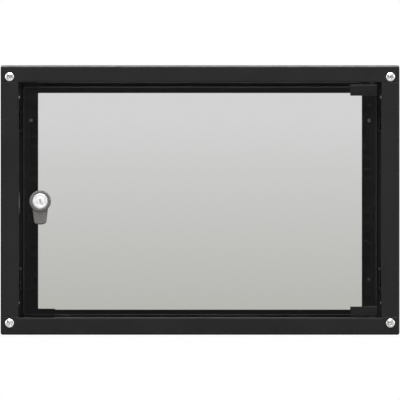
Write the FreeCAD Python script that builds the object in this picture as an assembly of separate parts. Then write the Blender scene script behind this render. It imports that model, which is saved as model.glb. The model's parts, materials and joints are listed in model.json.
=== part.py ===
import FreeCAD, Part
import math
import os

# A wall mount network cabinet of six rack units, in millimetres.
# +Z is up, the front faces -Y and the wall is the plane Y = 0.
# The origin is the middle of the back face, where the four wall holes are centred.

# Cabinet and its sheet metal
WIDTH = 552.0
HEIGHT = 373.0
DEPTH = 450.0
SHEET = 1.2
FOLD = 1.8             # inside radius of the large outer folds
REVEAL_FOLD = 1.2      # inside radius of the folds round the opening
TIGHT_FOLD = 0.6       # inside radius of the small folds
SEAM = 0.2             # gap between two fixed sheets that lie side by side
PLAY = 0.3             # gap between a moving piece and a fixed one
NEAR = 1e-4            # two points closer than this are one

# Front frame
RAIL_BAR = 24.0        # height of the top and bottom bars, seen from the front
STILE_BAR = 25.0       # width of the side bars
LIP = 20.0             # depth of the outer wall
REVEAL = 25.0          # depth of the inner wall
FRAME_SCREW_X = 263.5
FRAME_SCREW_Z = 170.4
FRAME_HEAD = 6.2       # radius
FRAME_HEAD_RISE = 3.4
BRACKET_SHEET = 1.5
BRACKET_LOW = 134.0
BRACKET_HIGH = 183.5
BRACKET_REACH = 40.0   # depth of the bracket's outer wall
RIVET_Z = 142.5
RIVET_DEPTH = 13.0     # behind the front face
RIVET_RADIUS = 1.6

# Door
GLASS = 4.0
GLASS_INSET = 3.5      # from the front face to the glass
GLASS_HALF_WIDTH = 244.0
GLASS_TOP = 156.5
GLASS_BOTTOM = -159.0
GLASS_CORNER = 4.0
PIVOT_X = 238.0
PIN_RADIUS = 2.0
PIN_FIT = 0.05
CLAMP_LEFT = 208.0
CLAMP_RIGHT = 245.0
CLAMP_FRONT = 2.4
CLAMP_BACK = 3.0
GASKET = 0.6
BUSH_RADIUS = 3.0
BUSH_COLLAR = 1.0       # thickness
BUSH_COLLAR_RADIUS = 4.4
BUSH_LENGTH = 7.0

# Lock
LOCK_X = -221.0
LOCK_Z = -1.5
GRIP_RADIUS = 14.8
GRIP_HEIGHT = 10.5
TAIL_HEIGHT = 7.5
TAIL_LENGTH = 31.8
TAIL_TOP_HALF = 11.8   # half its width beside the axis
TAIL_END_HALF = 8.2
TAIL_CORNER = 4.5
BEZEL_RADIUS = 10.6
BARREL_RADIUS = 9.0
PLUG_RADIUS = 6.0
WASHER = 0.8
WASHER_RADIUS = 13.4
CAM_LENGTH = 32.5
CAM_HALF_WIDTH = 6.5
CAM_HUB_RADIUS = 10.0
DRIVE = 7.0             # side of the square that turns the cam
CAM_SHEET = 2.0
KEEPER_WIDE = 7.5
KEEPER_ABOVE = 10.0     # its slot, above the lock's axis
KEEPER_BELOW = 15.6     # where the cam's tip swings in
KEEPER_WALL = 0.8
KEEPER_PLATE = 1.0

# Door stop
STOP_LEFT = -225.0
STOP_WIDTH = 24.4
STOP_TOP = -150.4
STOP_PAD = 1.3          # thickness

# Shell
TOP_FLANGE = 17.0
SHELL_SCREW_Z = 176.0
SHELL_SCREW_Y = -60.0
SCREW_RADIUS = 2.0
ENTRY_WIDTH = 260.0
ENTRY_DEPTH = 60.0
ENTRY_Y = -75.0
FAN_Y = -250.0
FAN_RADIUS = 56.0
FAN_SCREWS = 105.0
VENT_WIDTH = 5.0
EARTH = (-190.0, -120.0)

# Rear frame
REAR_SHEET = 1.5
REAR_LIP = 15.0
REAR_OPEN_WIDTH = 470.0
REAR_OPEN_HEIGHT = 313.0
REAR_OPEN_Z = -1.9     # its middle
REAR_CORNER = 2.5
REAR_HEM = 12.0
WALL_HOLE_X = 250.0
WALL_HOLE_Z = 170.0
WALL_HOLE_RADIUS = 5.0

# 19-inch rack
UNIT = 44.45
UNITS = 6
HOLE_STEPS = (-15.875, 0.0, 15.875)
RACK_HOLE_X = 232.55
RACK_HOLE_SIDE = 9.5
RACK_CLEAR = 225.0     # half the clear width between the rails
RAIL_SHEET = 2.0
RAIL_OUT = 248.0
RAIL_Y = -400.0
RAIL_DEPTH = 40.0
RAIL_HALF_HEIGHT = 172.0
RAIL_BOLT_STEP = 20.0   # behind the rail's face
RAIL_BOLT = 16.6        # length under the head
RAIL_TRAVEL = 200.0
CARRIER_SHEET = 1.5
CARRIER_Z = 111.0       # level with the middle holes of the outer units
CARRIER_HALF = 13.0
CARRIER_LIP = 8.0
CARRIER_FRONT = -405.0
CARRIER_BACK = -25.0
BOLT_RADIUS = 3.0

# Worked-out planes
V = FreeCAD.Vector
X = V(1, 0, 0)
Y = V(0, 1, 0)
Z = V(0, 0, 1)
HALF_WIDTH = WIDTH / 2
HALF_HEIGHT = HEIGHT / 2
FRONT = -DEPTH
OPEN_X = HALF_WIDTH - STILE_BAR
OPEN_Z = HALF_HEIGHT - RAIL_BAR
GLASS_FRONT = FRONT + GLASS_INSET
GLASS_BACK = GLASS_FRONT + GLASS
GLASS_MID = GLASS_FRONT + GLASS / 2
SHELL_X = HALF_WIDTH - SHEET - SEAM             # outer face of the side panels
SHELL_Z = HALF_HEIGHT - SHEET - SEAM            # outer face of the top and bottom panels
SHELL_INNER_X = SHELL_X - SHEET - SEAM          # outermost plane inside the side panels
SHELL_FRONT = FRONT + 4.0
SHELL_BACK = -REAR_SHEET - SEAM
GRIP_BASE = GLASS_FRONT - WASHER
GRIP_FACE = GRIP_BASE - GRIP_HEIGHT
TAIL_FACE = GRIP_BASE - TAIL_HEIGHT
BARREL_SEAT = GRIP_FACE + 2.5
BARREL_END = GLASS_BACK + 8.8
CAM_FRONT = BARREL_END + PLAY
CAM_BACK = CAM_FRONT + CAM_SHEET
CAM_MID = (CAM_FRONT + CAM_BACK) / 2
KEEPER_TALL = KEEPER_ABOVE + KEEPER_BELOW
KEEPER_Z = LOCK_Z + (KEEPER_ABOVE - KEEPER_BELOW) / 2
WEB_X = RAIL_OUT + PLAY                         # face of the carriers that the rails lie on


# ---- General shapes ----

def box(x0, x1, y0, y1, z0, z1):
    """Box between two opposite corners."""
    low = V(min(x0, x1), min(y0, y1), min(z0, z1))
    return Part.makeBox(abs(x1 - x0), abs(y1 - y0), abs(z1 - z0), low)


def outline(corners):
    """Face inside a closed line of (point, radius) corners, rounded where the radius isn't 0."""
    turns = []
    for index, (point, radius) in enumerate(corners):
        if radius == 0:
            turns.append((point, None, point))
            continue
        back = (corners[index - 1][0] - point).normalize()
        onward = (corners[(index + 1) % len(corners)][0] - point).normalize()
        half = back.getAngle(onward) / 2
        reach = radius / math.tan(half)
        middle = (back + onward).normalize() * (radius / math.sin(half) - radius)
        turns.append((point + back * reach, point + middle, point + onward * reach))
    edges = []
    for index, (start, middle, stop) in enumerate(turns):
        if middle is not None:
            edges.append(Part.Arc(start, middle, stop).toShape())
        following = turns[(index + 1) % len(turns)][0]
        if stop.distanceToPoint(following) > NEAR:
            edges.append(Part.LineSegment(stop, following).toShape())
    return Part.Face(Part.Wire(edges))


def folded(path, thick, folds, along):
    """Sheet folded along a path, lying on the side along x path, with an inside radius for each fold."""
    axis = V(along).normalize()
    runs = [(end - start).normalize() for start, end in zip(path, path[1:])]
    sides = [axis.cross(run) for run in runs]
    shifts = [sides[0]]
    for one, two in zip(sides, sides[1:]):
        shifts.append((one + two) * (1 / (1 + one.dot(two))))
    shifts.append(sides[-1])
    near_radii = [0]
    far_radii = [0]
    for index, inside in enumerate(folds):
        towards_sheet = sides[index].dot(runs[index + 1]) > 0
        near_radii.append(inside + thick if towards_sheet else inside)
        far_radii.append(inside if towards_sheet else inside + thick)
    near_radii.append(0)
    far_radii.append(0)
    near = list(zip(path, near_radii))
    far = [(point + shift * thick, radius) for point, shift, radius in zip(path, shifts, far_radii)]
    return outline(near + far[::-1]).extrude(along)


def slab(centre, across, up, through, width, height, radius=0):
    """Plate with round corners, centred on a point; through is its thickness as a vector."""
    low = centre - through * 0.5
    corners = []
    for side, level in ((-0.5, -0.5), (0.5, -0.5), (0.5, 0.5), (-0.5, 0.5)):
        corners.append((low + across * (width * side) + up * (height * level), radius))
    return outline(corners).extrude(through)


def turned(profile, base=V(0, 0, 0), axis=Z):
    """Solid turned from (radius, height) points, standing on a base along an axis."""
    section = outline([(V(radius, 0, height), 0) for radius, height in profile])
    return placed(section.revolve(V(0, 0, 0), Z, 360), base, axis)


def placed(shape, base, axis):
    """Shape made along Z at the origin, moved to a base and turned to an axis."""
    shape.Placement = FreeCAD.Placement(base, FreeCAD.Rotation(Z, axis))
    return shape


def rod(radius, start, end):
    """Round bar between two points, also used to drill a hole."""
    return Part.makeCylinder(radius, (end - start).Length, start, end - start)


def edges_at(shape, x=None, y=None, z=None):
    """Edges that lie wholly in each of the planes given."""
    found = []
    for edge in shape.Edges:
        reach = edge.BoundBox
        spans = ((x, reach.XMin, reach.XMax), (y, reach.YMin, reach.YMax), (z, reach.ZMin, reach.ZMax))
        if all(at is None or (abs(low - at) < NEAR and abs(high - at) < NEAR) for at, low, high in spans):
            found.append(edge)
    return found


def flip_x(shape):
    """Mirror image on the other side of the cabinet."""
    return shape.mirror(V(0, 0, 0), X)


def flip_z(shape):
    """Mirror image at the other end, top to bottom."""
    return shape.mirror(V(0, 0, 0), Z)


def four_corners(shape):
    """The same piece in all four corners, as separate solids."""
    pair = [shape, flip_x(shape)]
    return Part.makeCompound(pair + [flip_z(piece) for piece in pair])


# ---- Fasteners ----

def screw(seat, out, head, rise, shank, length):
    """Flat-headed screw; seat is the point under the head and out leaves the work."""
    profile = [(0, -length), (shank, -length), (shank, 0), (head, 0), (head, rise), (0, rise)]
    return turned(profile, seat, out)


def cross_recess(seat, out, head, rise):
    """Cross that a driver fits, to be cut into a screw's head."""
    bars = [slab(V(0, 0, rise), across, up, Z * (rise * 1.4), head * 1.1, head * 0.26)
            for across, up in ((X, Y), (Y, X))]
    return placed(bars[0].fuse(bars[1]), seat, out)


def hex_nut(seat, out, flats, height, bore):
    """Hexagon nut standing on its seat."""
    corner = flats / math.sqrt(3)
    turns = [math.radians(60 * side) for side in range(6)]
    face = outline([(V(corner * math.cos(turn), corner * math.sin(turn), 0), 0) for turn in turns])
    nut = face.extrude(Z * height).cut(rod(bore, V(0, 0, -1), V(0, 0, height + 1)))
    return placed(nut, seat, out)


# ---- Front frame ----

def front_rail():
    """Top bar: a tray with its outer and end walls, and a folded inner wall with the pivot's hole."""
    tray = box(-HALF_WIDTH, HALF_WIDTH, FRONT, FRONT + LIP, OPEN_Z, HALF_HEIGHT)
    tray = tray.makeFillet(FOLD + SHEET, outer_edges(tray, HALF_WIDTH, HALF_HEIGHT))
    inside = box(SHEET - HALF_WIDTH, HALF_WIDTH - SHEET, FRONT + SHEET, FRONT + LIP + 1,
                 OPEN_Z - RAIL_BAR, HALF_HEIGHT - SHEET)
    inside = inside.makeFillet(FOLD, outer_edges(inside, HALF_WIDTH - SHEET, HALF_HEIGHT - SHEET))
    tray = tray.cut(inside)
    fold_top = OPEN_Z + 6
    tray = tray.cut(box(-OPEN_X, OPEN_X, FRONT - 1, FRONT + LIP, OPEN_Z, fold_top))
    path = [V(-OPEN_X, FRONT, fold_top), V(-OPEN_X, FRONT, OPEN_Z), V(-OPEN_X, FRONT + REVEAL, OPEN_Z)]
    rail = tray.fuse(folded(path, SHEET, [REVEAL_FOLD], X * (2 * OPEN_X))).removeSplitter()
    for side in (-1, 1):
        screw = V(side * FRAME_SCREW_X, FRONT, FRAME_SCREW_Z)
        rail = rail.cut(rod(BOLT_RADIUS + 0.3, screw - Y * 5, screw + Y * 5))
    pivot = V(PIVOT_X, GLASS_MID, OPEN_Z)
    return rail.cut(rod(BUSH_RADIUS, pivot - Z * 5, pivot + Z * 5))


def outer_edges(tray, x, z):
    """Edges round the front face and the two top corners of a top bar's tray."""
    front = min(vertex.Y for vertex in tray.Vertexes)
    edges = edges_at(tray, y=front, z=z)
    for side in (-x, x):
        edges += edges_at(tray, x=side, y=front)
        edges += edges_at(tray, x=side, z=z)
    return edges


def bottom_rail():
    """The top bar upside down, with a hole for the door stop's screw."""
    hole = stop_screw_seat()
    return flip_z(front_rail()).cut(rod(SCREW_RADIUS, hole - Z * 6, hole + Z))


def stile():
    """Right bar, folded to a channel between the rails."""
    low = SEAM - OPEN_Z
    path = [V(OPEN_X, FRONT + REVEAL, low), V(OPEN_X, FRONT, low),
            V(HALF_WIDTH, FRONT, low), V(HALF_WIDTH, FRONT + LIP, low)]
    bar = folded(path, SHEET, [REVEAL_FOLD, FOLD], Z * (-2 * low))
    for level in (-RIVET_Z, RIVET_Z):
        hole = V(OPEN_X, FRONT + RIVET_DEPTH, level)
        bar = bar.cut(rod(RIVET_RADIUS, hole - X * 3, hole + X * 3))
    return bar


def left_stile():
    """The right bar mirrored, with the slot that takes the keeper."""
    slot = V(-OPEN_X, CAM_MID, KEEPER_Z)
    wide = KEEPER_WIDE + 2 * KEEPER_WALL
    tall = KEEPER_TALL + 2 * KEEPER_WALL
    return flip_x(stile()).cut(slab(slot, Y, Z, X * 6, wide, tall))


def corner_bracket():
    """Folded bracket behind the top right corner, tapped for the frame screw."""
    inner = OPEN_X + SHEET + SEAM
    face = FRONT + SHEET + SEAM
    path = [V(inner, FRONT + REVEAL, BRACKET_LOW), V(inner, face, BRACKET_LOW),
            V(SHELL_INNER_X, face, BRACKET_LOW), V(SHELL_INNER_X, FRONT + BRACKET_REACH, BRACKET_LOW)]
    bracket = folded(path, BRACKET_SHEET, [1.0, 1.0], Z * (BRACKET_HIGH - BRACKET_LOW))
    screw = V(FRAME_SCREW_X, face, FRAME_SCREW_Z)
    bracket = bracket.cut(rod(BOLT_RADIUS, screw - Y * 2, screw + Y * 4))
    rivet = V(inner, FRONT + RIVET_DEPTH, RIVET_Z)
    return bracket.cut(rod(RIVET_RADIUS, rivet - X * 3, rivet + X * 3))


def stile_rivet():
    """Rivet that ties a stile to its bracket, with its head on the opening's side."""
    seat = V(OPEN_X, FRONT + RIVET_DEPTH, RIVET_Z)
    return screw(seat, -X, 2.7, 1.6, RIVET_RADIUS, SHEET + SEAM + BRACKET_SHEET + 1)


def frame_screw():
    """Large screw with a bevelled head and a cross recess, through the frame's corner."""
    seat = V(FRAME_SCREW_X, FRONT, FRAME_SCREW_Z)
    whole = screw(seat, -Y, FRAME_HEAD, FRAME_HEAD_RISE, BOLT_RADIUS, 12.0)
    whole = whole.makeChamfer(1.7, edges_at(whole, y=FRONT - FRAME_HEAD_RISE))
    return whole.cut(cross_recess(seat, -Y, FRAME_HEAD, FRAME_HEAD_RISE))


# ---- Door ----

def door_glass():
    """Pane with round corners, ground edges and the lock's hole."""
    centre = V(0, GLASS_MID, (GLASS_TOP + GLASS_BOTTOM) / 2)
    height = GLASS_TOP - GLASS_BOTTOM
    pane = slab(centre, X, Z, Y * GLASS, 2 * GLASS_HALF_WIDTH, height, GLASS_CORNER)
    pane = pane.makeChamfer(0.4, edges_at(pane, y=GLASS_FRONT) + edges_at(pane, y=GLASS_BACK))
    lock = V(LOCK_X, GLASS_MID, LOCK_Z)
    return pane.cut(rod(BARREL_RADIUS + 0.6, lock - Y * 5, lock + Y * 5))


def clamp_span(end, level):
    """Heights of a clamp's open edge, its slot's floor and its outer face; end is 1 up and -1 down."""
    if end > 0:
        return level - 12.1, level + 0.4, level + 3.4
    return level + 11.5, level - 0.5, level - 2.2


def clamp_screw_places(end, level):
    """Where the two pinch screws sit on a clamp's back face."""
    open_edge = clamp_span(end, level)[0]
    back = GLASS_BACK + GASKET + CLAMP_BACK
    return [V(x, back, open_edge + end * 5) for x in (CLAMP_LEFT + 7, CLAMP_LEFT + 20)]


def hinge_clamp(end, level):
    """Cast clamp round the glass edge at a level, with holes for its pinch screws and its pin."""
    open_edge, floor, outer = clamp_span(end, level)
    front = GLASS_FRONT - GASKET - CLAMP_FRONT
    back = GLASS_BACK + GASKET + CLAMP_BACK
    block = box(CLAMP_LEFT, CLAMP_RIGHT, front, back, open_edge, outer)
    block = block.makeChamfer(1.6, edges_at(block, y=front, z=outer))
    block = block.makeFillet(1.2, edges_at(block, x=CLAMP_LEFT, y=front) + edges_at(block, x=CLAMP_LEFT, y=back))
    slot = box(CLAMP_LEFT - 1, CLAMP_RIGHT + 1, GLASS_FRONT - GASKET, GLASS_BACK + GASKET,
               open_edge - end, floor)
    block = block.cut(slot)
    for hole in clamp_screw_places(end, level):
        block = block.cut(rod(SCREW_RADIUS, hole - Y * CLAMP_BACK, hole + Y))
    pivot = V(PIVOT_X, GLASS_MID, floor)
    return block.cut(rod(PIN_RADIUS, pivot - Z * end, pivot + Z * (end * 6)))


def hinge_gaskets(end, level):
    """The two soft pads between a clamp and the glass."""
    open_edge = clamp_span(end, level)[0]
    pads = []
    for face in (GLASS_FRONT - GASKET, GLASS_BACK):
        pads.append(box(CLAMP_LEFT + 1, CLAMP_RIGHT - 2, face, face + GASKET,
                        open_edge + end * 0.5, level - end * 0.5))
    return Part.makeCompound(pads)


def clamp_screws(end, level):
    """The pinch screws of one clamp, from behind."""
    places = clamp_screw_places(end, level)
    return Part.makeCompound([screw(place, Y, 3.6, 2.0, SCREW_RADIUS, CLAMP_BACK) for place in places])


def hinge_pin(end, level):
    """Pivot pin that stands out of a clamp into its bush."""
    open_edge, floor, outer = clamp_span(end, level)
    held = abs(outer - floor)
    length = abs(end * OPEN_Z - floor) + BUSH_LENGTH - 1
    profile = [(0, 0), (PIN_RADIUS, 0)]
    if end > 0:
        profile += [(PIN_RADIUS, held), (3.6, held), (3.6, held + 1.2), (PIN_RADIUS, held + 1.2)]
    profile += [(PIN_RADIUS, length - 0.8), (PIN_RADIUS - 0.8, length), (0, length)]
    return turned(profile, V(PIVOT_X, GLASS_MID, floor), Z * end)


def pivot_bush(end):
    """Collared bush in a rail's inner wall."""
    bore = PIN_RADIUS + PIN_FIT
    profile = [(bore, -BUSH_COLLAR), (BUSH_COLLAR_RADIUS, -BUSH_COLLAR), (BUSH_COLLAR_RADIUS, 0)]
    profile += [(BUSH_RADIUS, 0), (BUSH_RADIUS, BUSH_LENGTH), (bore, BUSH_LENGTH)]
    return turned(profile, V(PIVOT_X, GLASS_MID, end * OPEN_Z), Z * end)


# ---- Lock ----

def lock_point(y):
    """Point on the lock's axis."""
    return V(LOCK_X, y, LOCK_Z)


def lock_grip():
    """Moulded ring with a tapered tail that a finger pulls, relieved behind the tail."""
    ring = rod(GRIP_RADIUS, lock_point(GRIP_BASE), lock_point(GRIP_FACE))
    ring = ring.makeChamfer(1.4, edges_at(ring, y=GRIP_FACE))
    top = lock_point(GRIP_BASE)
    foot = top - Z * TAIL_LENGTH
    corners = [(top - X * TAIL_TOP_HALF, 0), (foot - X * TAIL_END_HALF, TAIL_CORNER),
               (foot + X * TAIL_END_HALF, TAIL_CORNER), (top + X * TAIL_TOP_HALF, 0)]
    tail = outline(corners).extrude(-Y * TAIL_HEIGHT)
    rim = [edge for edge in edges_at(tail, y=TAIL_FACE) if edge.BoundBox.ZMin < LOCK_Z - 1]
    tail = tail.makeChamfer(1.2, rim)
    side = foot - X * 12
    relief = outline([(side - Z, 0), (side + Z * 16, 0), (side - Z - Y * 3.6, 0)]).extrude(X * 24)
    grip = ring.fuse(tail).removeSplitter().cut(relief)
    grip = grip.cut(rod(BARREL_RADIUS + 0.2, lock_point(GRIP_BASE + 1), lock_point(GRIP_FACE - 1)))
    return grip.cut(rod(BEZEL_RADIUS + 0.2, lock_point(BARREL_SEAT), lock_point(GRIP_FACE - 1)))


def lock_barrel():
    """Fixed housing with a bezel, through the glass to just in front of the cam."""
    rear = BARREL_SEAT - BARREL_END
    bezel = BARREL_SEAT - GRIP_FACE - 0.2
    bore = PLUG_RADIUS + PIN_FIT
    profile = [(bore, rear), (BARREL_RADIUS, rear), (BARREL_RADIUS, 0), (BEZEL_RADIUS, 0)]
    profile += [(BEZEL_RADIUS, bezel - 1.0), (BEZEL_RADIUS - 1.0, bezel), (bore, bezel)]
    return turned(profile, lock_point(BARREL_SEAT), -Y)


def lock_plug():
    """Turning plug with a keyway in front and a square behind that drives the cam."""
    plug = rod(PLUG_RADIUS, lock_point(BARREL_END), lock_point(GRIP_FACE))
    drive = slab(lock_point((BARREL_END + CAM_BACK) / 2), X, Z, Y * (CAM_BACK - BARREL_END), DRIVE, DRIVE)
    keyway = slab(lock_point(GRIP_FACE), X, Z, Y * 14, 1.6, 7.5)
    tapped = rod(SCREW_RADIUS, lock_point(CAM_BACK - 9), lock_point(CAM_BACK + 1))
    return plug.fuse(drive).removeSplitter().cut(keyway).cut(tapped)


def lock_washers():
    """Soft rings on both faces of the glass."""
    rings = []
    for face in (GLASS_FRONT, GLASS_BACK + WASHER):
        profile = [(BARREL_RADIUS, 0), (WASHER_RADIUS, 0), (WASHER_RADIUS, WASHER), (BARREL_RADIUS, WASHER)]
        rings.append(turned(profile, lock_point(face), -Y))
    return Part.makeCompound(rings)


def lock_cam():
    """Tongue that hangs down when unlocked and points to the stile when locked."""
    face = lock_point(CAM_FRONT)
    hub = rod(CAM_HUB_RADIUS, face, face + Y * CAM_SHEET)
    corners = [(face - X * CAM_HALF_WIDTH, 0), (face - X * CAM_HALF_WIDTH - Z * CAM_LENGTH, 4.0),
               (face + X * CAM_HALF_WIDTH - Z * CAM_LENGTH, 4.0), (face + X * CAM_HALF_WIDTH, 0)]
    cam = hub.fuse(outline(corners).extrude(Y * CAM_SHEET)).removeSplitter()
    return cam.cut(slab(lock_point(CAM_MID), X, Z, Y * 6, DRIVE, DRIVE))


def cam_screw():
    """Screw that holds the cam on the plug."""
    return screw(lock_point(CAM_BACK), Y, 5.2, 2.4, SCREW_RADIUS, 8.0)


def lock_keeper():
    """Lined slot in the stile that the cam turns into."""
    centre = V(-OPEN_X, CAM_MID, KEEPER_Z)
    plate = slab(centre + X * (KEEPER_PLATE / 2), Y, Z, X * KEEPER_PLATE, KEEPER_WIDE + 5, KEEPER_TALL + 4, 1.5)
    collar = slab(centre - X * 0.9, Y, Z, X * 1.8, KEEPER_WIDE + 2 * KEEPER_WALL,
                  KEEPER_TALL + 2 * KEEPER_WALL)
    slot = slab(centre, Y, Z, X * 8, KEEPER_WIDE, KEEPER_TALL)
    return plate.fuse(collar).removeSplitter().cut(slot)


# ---- Door stop ----

def stop_screw_seat():
    """Point on the door stop's foot under its screw."""
    return V(STOP_LEFT + STOP_WIDTH / 2, FRONT + 18, SHEET - OPEN_Z)


def door_stop():
    """Folded stop on the bottom rail, behind the glass."""
    face = GLASS_BACK + PLAY + STOP_PAD
    path = [V(STOP_LEFT, face, STOP_TOP), V(STOP_LEFT, face, -OPEN_Z), V(STOP_LEFT, FRONT + REVEAL, -OPEN_Z)]
    stop = folded(path, SHEET, [TIGHT_FOLD], X * STOP_WIDTH)
    hole = stop_screw_seat()
    return stop.cut(rod(SCREW_RADIUS, hole - Z * 6, hole + Z))


def door_stop_pad():
    """Soft pad that the pane meets."""
    middle = V(STOP_LEFT + STOP_WIDTH / 2, GLASS_BACK + PLAY + STOP_PAD / 2, STOP_TOP - 5.2)
    return slab(middle, X, Z, Y * STOP_PAD, STOP_WIDTH - 3, 8.4, 1.5)


def door_stop_screw():
    """Screw through the stop's foot and the rail."""
    return screw(stop_screw_seat(), Z, 3.6, 2.2, SCREW_RADIUS, 7.0)


# ---- Shell ----

def roof():
    """Top panel: a sheet with folded-down sides, notched in front where the brackets stand."""
    low = SHELL_Z - TOP_FLANGE
    path = [V(-SHELL_INNER_X, SHELL_FRONT, low), V(-SHELL_INNER_X, SHELL_FRONT, SHELL_Z),
            V(SHELL_INNER_X, SHELL_FRONT, SHELL_Z), V(SHELL_INNER_X, SHELL_FRONT, low)]
    panel = folded(path, SHEET, [FOLD, FOLD], Y * (SHELL_BACK - SHELL_FRONT))
    notch = box(SHELL_INNER_X - 4, SHELL_INNER_X + 1, FRONT, FRONT + BRACKET_REACH + 2, low - 1, SHELL_Z + 1)
    panel = panel.cut([notch, flip_x(notch)])
    for side in (-1, 1):
        hole = V(side * SHELL_INNER_X, SHELL_SCREW_Y, SHELL_SCREW_Z)
        panel = panel.cut(rod(SCREW_RADIUS, hole - X * 4, hole + X * 4))
    return panel.cut(slab(V(0, ENTRY_Y, SHELL_Z), X, Y, Z * 8, ENTRY_WIDTH, ENTRY_DEPTH))


def top_panel():
    """The roof with a round fan grille of parallel slots and the fan's screw holes."""
    panel = roof()
    holes = []
    for row in range(-4, 5):
        offset = row * 12.0
        length = 2 * math.sqrt(FAN_RADIUS ** 2 - offset ** 2)
        holes.append(slab(V(0, FAN_Y + offset, SHELL_Z), X, Y, Z * 8, length, VENT_WIDTH))
    for side in (-0.5, 0.5):
        for step in (-0.5, 0.5):
            screw = V(side * FAN_SCREWS, FAN_Y + step * FAN_SCREWS, SHELL_Z)
            holes.append(rod(2.2, screw - Z * 4, screw + Z * 4))
    return panel.cut(holes)


def bottom_panel():
    """The roof upside down, with a row of vent slots and the earth stud's hole."""
    panel = flip_z(roof())
    vents = []
    for column in range(-4, 5):
        vents.append(slab(V(column * 16.0, FAN_Y, -SHELL_Z), X, Y, Z * 8, VENT_WIDTH, 90.0))
    stud = V(*EARTH, -SHELL_Z)
    return panel.cut(vents + [rod(BOLT_RADIUS, stud - Z * 4, stud + Z * 4)])


def side_panel():
    """Right side: a flat sheet with two blocks of vent slots, tucked in behind the front frame."""
    panel = box(SHELL_X - SHEET, SHELL_X, SHELL_FRONT, SHELL_BACK, 3 - SHELL_Z, SHELL_Z - 3)
    holes = []
    for block in (-1, 1):
        for row in range(5):
            centre = V(SHELL_X, (SHELL_FRONT + SHELL_BACK) / 2, block * (24.0 + row * 14.0))
            holes.append(slab(centre, Y, Z, X * 6, 180.0, VENT_WIDTH))
    holes += [rod(SCREW_RADIUS, seat - X * 4, seat + X * 4) for seat in side_screw_seats()]
    return panel.cut(holes)


def side_screw_seats():
    """Points under the heads of the right side panel's screws."""
    return [V(SHELL_X, SHELL_SCREW_Y, end * SHELL_SCREW_Z) for end in (-1, 1)]


def side_panel_screws():
    """Low-head screws of both side panels."""
    right = [screw(seat, X, 4.2, 1.3, SCREW_RADIUS, 6.0) for seat in side_screw_seats()]
    return Part.makeCompound(right + [flip_x(screw) for screw in right])


def top_cable_cover():
    """Snap-in blank over the top cable entry: a lid with a rim that grips the cut-out."""
    lid = slab(V(0, ENTRY_Y, SHELL_Z + SHEET / 2), X, Y, Z * SHEET, ENTRY_WIDTH + 12, ENTRY_DEPTH + 12, 10.0)
    rim = slab(V(0, ENTRY_Y, SHELL_Z - 3), X, Y, Z * 6, ENTRY_WIDTH - 0.4, ENTRY_DEPTH - 0.4)
    hollow = slab(V(0, ENTRY_Y, SHELL_Z - 4), X, Y, Z * 8, ENTRY_WIDTH - 3.4, ENTRY_DEPTH - 3.4)
    return lid.fuse(rim.cut(hollow)).removeSplitter()


def cable_entry_edging():
    """Soft U-shaped edging round the bottom cable entry."""
    level = V(0, ENTRY_Y, -SHELL_Z + SHEET / 2)
    ring = slab(level, X, Y, Z * (SHEET + 2.4), ENTRY_WIDTH + 6, ENTRY_DEPTH + 6, 3.0)
    groove = slab(level, X, Y, Z * SHEET, ENTRY_WIDTH + 20, ENTRY_DEPTH + 20)
    groove = groove.cut(slab(level, X, Y, Z * (SHEET + 2), ENTRY_WIDTH, ENTRY_DEPTH))
    return ring.cut(groove).cut(slab(level, X, Y, Z * 12, ENTRY_WIDTH - 3, ENTRY_DEPTH - 3))


def rear_frame():
    """Tray round the back with a large opening, a hem round it and the four wall holes."""
    tray = slab(V(0, -REAR_LIP / 2, 0), X, Z, Y * REAR_LIP, WIDTH, HEIGHT, FOLD + SHEET)
    tray = tray.makeChamfer(REAR_SHEET / 2, edges_at(tray, y=0))
    tray = tray.cut(slab(V(0, -REAR_LIP / 2 - REAR_SHEET, 0), X, Z, Y * REAR_LIP,
                         WIDTH - 2 * SHEET, HEIGHT - 2 * SHEET, FOLD))
    hem = slab(V(0, -REAR_HEM / 2, REAR_OPEN_Z), X, Z, Y * REAR_HEM,
               REAR_OPEN_WIDTH + 2 * SHEET, REAR_OPEN_HEIGHT + 2 * SHEET, REAR_CORNER + SHEET)
    opening = slab(V(0, 0, REAR_OPEN_Z), X, Z, Y * 40, REAR_OPEN_WIDTH, REAR_OPEN_HEIGHT, REAR_CORNER)
    frame = tray.fuse(hem).removeSplitter().cut(opening)
    for x in (-WALL_HOLE_X, WALL_HOLE_X):
        for z in (-WALL_HOLE_Z, WALL_HOLE_Z):
            frame = frame.cut(rod(WALL_HOLE_RADIUS, V(x, -5, z), V(x, 5, z)))
    return frame


def earth_stud():
    """Threaded stud for the earth wire, welded in the bottom panel."""
    base = V(*EARTH, -SHELL_Z)
    return rod(BOLT_RADIUS, base, base + Z * 20)


def earth_nut():
    """Nut on the earth stud."""
    return hex_nut(V(*EARTH, SHEET - SHELL_Z), Z, 10.0, 5.0, BOLT_RADIUS)


# ---- Rack rails ----

def rail_carrier():
    """Upper right hat-section carrier, slotted so that the rail can be set back."""
    high = CARRIER_Z + CARRIER_HALF
    low = CARRIER_Z - CARRIER_HALF
    web = WEB_X + CARRIER_SHEET
    path = [V(SHELL_INNER_X, CARRIER_FRONT, high + CARRIER_LIP), V(SHELL_INNER_X, CARRIER_FRONT, high),
            V(web, CARRIER_FRONT, high), V(web, CARRIER_FRONT, low),
            V(SHELL_INNER_X, CARRIER_FRONT, low), V(SHELL_INNER_X, CARRIER_FRONT, low - CARRIER_LIP)]
    carrier = folded(path, CARRIER_SHEET, [1.0] * 4, Y * (CARRIER_BACK - CARRIER_FRONT))
    width = 2 * (BOLT_RADIUS + PLAY)
    slot = V(WEB_X, RAIL_Y + RAIL_BOLT_STEP + RAIL_TRAVEL / 2, CARRIER_Z)
    return carrier.cut(slab(slot, Y, Z, X * 6, RAIL_TRAVEL + width + 2, width, width / 2))


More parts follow.
